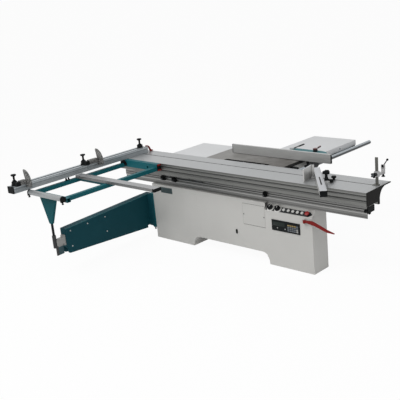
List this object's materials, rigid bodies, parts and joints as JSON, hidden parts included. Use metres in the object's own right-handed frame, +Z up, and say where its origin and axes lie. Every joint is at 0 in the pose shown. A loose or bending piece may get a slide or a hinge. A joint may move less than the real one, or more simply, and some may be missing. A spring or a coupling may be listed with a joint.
{
  "type": "sliding table saw",
  "caption": "Floor-standing panel saw with a long sliding table on an arched steel base, a braced outrigger with crosscut fence, a rip fence and a tilting saw unit.",
  "frame": {"origin": "on the floor, midway between the four anchor holes", "axes": "+X along the table's travel toward the control panel, +Y across it toward the rip fence side, +Z up"},
  "size_m": [3.085, 3.19, 1.1],
  "materials": {
    "grey_paint": "warm light grey powder coat",
    "teal_paint": "satin teal enamel",
    "dark_teal_paint": "satin dark teal enamel",
    "aluminium": "natural anodised extrusion",
    "cast_iron": "ground top, dark machined sides",
    "pale_sheet": "pale smooth coat",
    "steel": "bright turned steel",
    "blade_steel": "ground tool steel",
    "black_plastic": "fine black grain",
    "white_plastic": "glossy white",
    "red_plastic": "glossy red",
    "red_paint": "dark red enamel",
    "display_plastic": "membrane panel",
    "cast_grey": "speckled grey casting",
    "olive_steel": "olive grey flat bar",
    "motor_paint": "dark grey motor enamel",
    "belt_rubber": "ribbed black rubber"
  },
  "bodies": {
    "frame": {"base_shell": "grey_paint", "saw_cabinet": "grey_paint", "control_console": "grey_paint", "display_unit": "display_plastic", "access_panel": "grey_paint", "lower_beam": "aluminium", "main_table": "cast_iron", "table_insert": "steel", "rear_extension": "pale_sheet", "right_extension": "pale_sheet", "guide_bar": "steel", "bar_brackets": "black_plastic", "arm_bracket": "teal_paint", "trunnions": "cast_iron"},
    "table": {"table_profile": "aluminium", "outrigger_beam": "teal_paint", "outrigger_frame": "teal_paint", "support_bar": "aluminium", "leg_bracket": "teal_paint", "clamp_post": "olive_steel"},
    "saw_head": {"saw_carriage": "cast_iron", "main_motor": "motor_paint", "drive_belt": "belt_rubber"},
    "selector_1": {"selector_knob_1": "black_plastic"},
    "selector_2": {"selector_knob_2": "black_plastic"},
    "push_1": {"button_1": "white_plastic"},
    "push_2": {"button_2": "white_plastic"},
    "push_3": {"button_3": "white_plastic"},
    "push_4": {"button_4": "white_plastic"},
    "push_5": {"button_5": "white_plastic"},
    "emergency_stop": {"stop_button": "red_plastic"},
    "knee_bar": {"knee_lever": "red_paint"},
    "latch": {"door_latch": "black_plastic"},
    "carriage": {"roller_carriage": "black_plastic"},
    "roller": {"load_roller": "steel"},
    "slot_grip": {"slot_knob": "black_plastic"},
    "clamp_head": {"clamp_arm": "cast_grey"},
    "cam": {"clamp_lever": "black_plastic"},
    "presser": {"clamp_presser": "black_plastic"},
    "fence": {"fence_profile": "aluminium"},
    "slider_1": {"stop_slider_1": "black_plastic"},
    "slider_2": {"stop_slider_2": "black_plastic"},
    "finger_1": {"stop_finger_1": "cast_grey"},
    "finger_2": {"stop_finger_2": "cast_grey"},
    "grip_1": {"stop_knob_1": "black_plastic"},
    "grip_2": {"stop_knob_2": "black_plastic"},
    "fence_grip": {"fence_knob": "black_plastic"},
    "mitre": {"mitre_bar": "aluminium"},
    "mitre_grip": {"mitre_handle": "black_plastic"},
    "rip": {"rip_carrier": "teal_paint"},
    "rip_bar": {"rip_fence_bar": "aluminium"},
    "rip_handle": {"rip_lever": "black_plastic"},
    "bar_handle": {"bar_lever": "black_plastic"},
    "arm": {"swing_arm": "dark_teal_paint"},
    "extension": {"arm_extension": "steel"},
    "cradle": {"tilt_cradle": "cast_iron"},
    "motor_drive": {"motor_pulley": "steel"},
    "blade": {"main_blade": "blade_steel"},
    "scorer": {"scoring_unit": "cast_iron"},
    "score_disc": {"scoring_blade": "blade_steel"}
  },
  "joints": [
    {"name": "table_slide", "type": "slide", "parent": "frame", "child": "table", "axis": [1, 0, 0], "range_m": [-1.4, 1.4]},
    {"name": "carriage_roll", "type": "slide", "parent": "frame", "child": "carriage", "axis": [1, 0, 0], "range_m": [-0.7, 0.7]},
    {"name": "arm_swing", "type": "hinge", "parent": "frame", "child": "arm", "pos_m": [-1.05, -0.355, 0.3], "axis": [0, 0, 1], "range_deg": [-47, 47]},
    {"name": "arm_extend", "type": "slide", "parent": "arm", "child": "extension", "axis": [0.0811, -0.9967, 0], "range_m": [0, 0.62]},
    {"name": "roller_spin", "type": "hinge", "parent": "table", "child": "roller", "pos_m": [-0.97, -1.713, 0.845], "axis": [1, 0, 0], "continuous": true},
    {"name": "slot_knob_turn", "type": "hinge", "parent": "table", "child": "slot_grip", "pos_m": [1.18308, -0.25, 0.88], "axis": [0, 0, 1], "continuous": true},
    {"name": "fence_swivel", "type": "hinge", "parent": "table", "child": "fence", "pos_m": [-1.2745, -0.25, 0.9], "axis": [0, 0, 1], "range_deg": [-45, 45]},
    {"name": "stop_1_slide", "type": "slide", "parent": "fence", "child": "slider_1", "axis": [0, 1, 0], "range_m": [0, 0.35]},
    {"name": "stop_2_slide", "type": "slide", "parent": "fence", "child": "slider_2", "axis": [0, 1, 0], "range_m": [-0.2, 0.4]},
    {"name": "stop_1_flip", "type": "hinge", "parent": "slider_1", "child": "finger_1", "pos_m": [-1.2211, -1.735, 0.95972], "axis": [0, -1, 0], "range_deg": [0, 60]},
    {"name": "stop_2_flip", "type": "hinge", "parent": "slider_2", "child": "finger_2", "pos_m": [-1.2211, -0.87, 0.95972], "axis": [0, -1, 0], "range_deg": [0, 60]},
    {"name": "stop_1_knob", "type": "hinge", "parent": "slider_1", "child": "grip_1", "pos_m": [-1.2745, -1.83, 1], "axis": [0, 0, 1], "continuous": true},
    {"name": "stop_2_knob", "type": "hinge", "parent": "slider_2", "child": "grip_2", "pos_m": [-1.2745, -1.015, 1], "axis": [0, 0, 1], "continuous": true},
    {"name": "fence_knob_turn", "type": "hinge", "parent": "fence", "child": "fence_grip", "pos_m": [-1.2745, -0.25, 1], "axis": [0, 0, 1], "continuous": true},
    {"name": "mitre_swivel", "type": "hinge", "parent": "table", "child": "mitre", "pos_m": [1.02, -0.25, 0.9], "axis": [0, 0, 1], "range_deg": [-39, 6]},
    {"name": "mitre_handle_turn", "type": "hinge", "parent": "mitre", "child": "mitre_grip", "pos_m": [1.16656, -0.33724, 0.93], "axis": [0, 0, 1], "continuous": true},
    {"name": "clamp_height", "type": "slide", "parent": "table", "child": "clamp_head", "axis": [0, 0, 1], "range_m": [-0.02, 0.09]},
    {"name": "cam_turn", "type": "hinge", "parent": "clamp_head", "child": "cam", "pos_m": [1.585, -0.125, 1.0011], "axis": [-1, 0, 0], "range_deg": [0, 60]},
    {"name": "presser_slide", "type": "slide", "parent": "clamp_head", "child": "presser", "axis": [0, 0, -1], "range_m": [0, 0.016]},
    {"name": "rip_slide", "type": "slide", "parent": "frame", "child": "rip", "axis": [0, 1, 0], "range_m": [-0.1, 0.9]},
    {"name": "rip_bar_slide", "type": "slide", "parent": "rip", "child": "rip_bar", "axis": [1, 0, 0], "range_m": [-0.3, 0.3]},
    {"name": "rip_lever_turn", "type": "hinge", "parent": "rip", "child": "rip_handle", "pos_m": [0.36773, 0.26149, 0.95], "axis": [0, 0, 1], "range_deg": [0, 60]},
    {"name": "bar_lever_turn", "type": "hinge", "parent": "rip", "child": "bar_handle", "pos_m": [0.62708, 0.28274, 0.95], "axis": [0, 0, 1], "range_deg": [-60, 0]},
    {"name": "blade_tilt", "type": "hinge", "parent": "frame", "child": "cradle", "pos_m": [0.02, -0.07, 0.87], "axis": [-1, 0, 0], "range_deg": [0, 45]},
    {"name": "blade_lift", "type": "slide", "parent": "cradle", "child": "saw_head", "axis": [0, 0, 1], "range_m": [0, 0.085]},
    {"name": "blade_spin", "type": "hinge", "parent": "saw_head", "child": "blade", "pos_m": [0.02, -0.07, 0.715], "axis": [0, 1, 0], "continuous": true},
    {"name": "motor_spin", "type": "hinge", "parent": "saw_head", "child": "motor_drive", "pos_m": [0.02, 0, 0.455], "axis": [0, 1, 0], "continuous": true},
    {"name": "scoring_lift", "type": "slide", "parent": "cradle", "child": "scorer", "axis": [0, 0, 1], "range_m": [0, 0.006]},
    {"name": "scoring_spin", "type": "hinge", "parent": "scorer", "child": "score_disc", "pos_m": [0.26, -0.07, 0.8068], "axis": [0, 1, 0], "continuous": true},
    {"name": "selector_1_turn", "type": "hinge", "parent": "frame", "child": "selector_1", "pos_m": [0.5505, -0.351, 0.5515], "axis": [0, -0.5948, 0.8038], "range_deg": [-60, 60]},
    {"name": "selector_2_turn", "type": "hinge", "parent": "frame", "child": "selector_2", "pos_m": [0.6345, -0.351, 0.5515], "axis": [0, -0.5948, 0.8038], "range_deg": [-60, 60]},
    {"name": "stop_press", "type": "slide", "parent": "frame", "child": "emergency_stop", "axis": [0, 0.5948, -0.8038], "range_m": [0, 0.004], "stiffness_N_per_m": 600},
    {"name": "knee_push", "type": "hinge", "parent": "frame", "child": "knee_bar", "pos_m": [0.9495, -0.392, 0.5], "axis": [0, 0, 1], "range_deg": [0, 6], "stiffness_Nm_per_rad": 8},
    {"name": "latch_turn", "type": "hinge", "parent": "frame", "child": "latch", "pos_m": [0.13025, -0.368, 0.258], "axis": [0, 1, 0], "range_deg": [0, 90]},
    {"name": "button_1_press", "type": "slide", "parent": "frame", "child": "push_1", "axis": [0, 0.5948, -0.8038], "range_m": [0, 0.004], "stiffness_N_per_m": 400},
    {"name": "button_2_press", "type": "slide", "parent": "frame", "child": "push_2", "axis": [0, 0.5948, -0.8038], "range_m": [0, 0.004], "stiffness_N_per_m": 400},
    {"name": "button_3_press", "type": "slide", "parent": "frame", "child": "push_3", "axis": [0, 0.5948, -0.8038], "range_m": [0, 0.004], "stiffness_N_per_m": 400},
    {"name": "button_4_press", "type": "slide", "parent": "frame", "child": "push_4", "axis": [0, 0.5948, -0.8038], "range_m": [0, 0.004], "stiffness_N_per_m": 400},
    {"name": "button_5_press", "type": "slide", "parent": "frame", "child": "push_5", "axis": [0, 0.5948, -0.8038], "range_m": [0, 0.004], "stiffness_N_per_m": 400}
  ],
  "couplings": [
    {"joint": "carriage_roll", "follows": "table_slide", "ratio": 0.5},
    {"joint": "arm_swing", "follows": "table_slide", "rad_per_m": 0.58},
    {"joint": "presser_slide", "follows": "cam_turn", "m_per_rad": 0.015},
    {"joint": "motor_spin", "follows": "blade_spin", "ratio": 1}
  ]
}
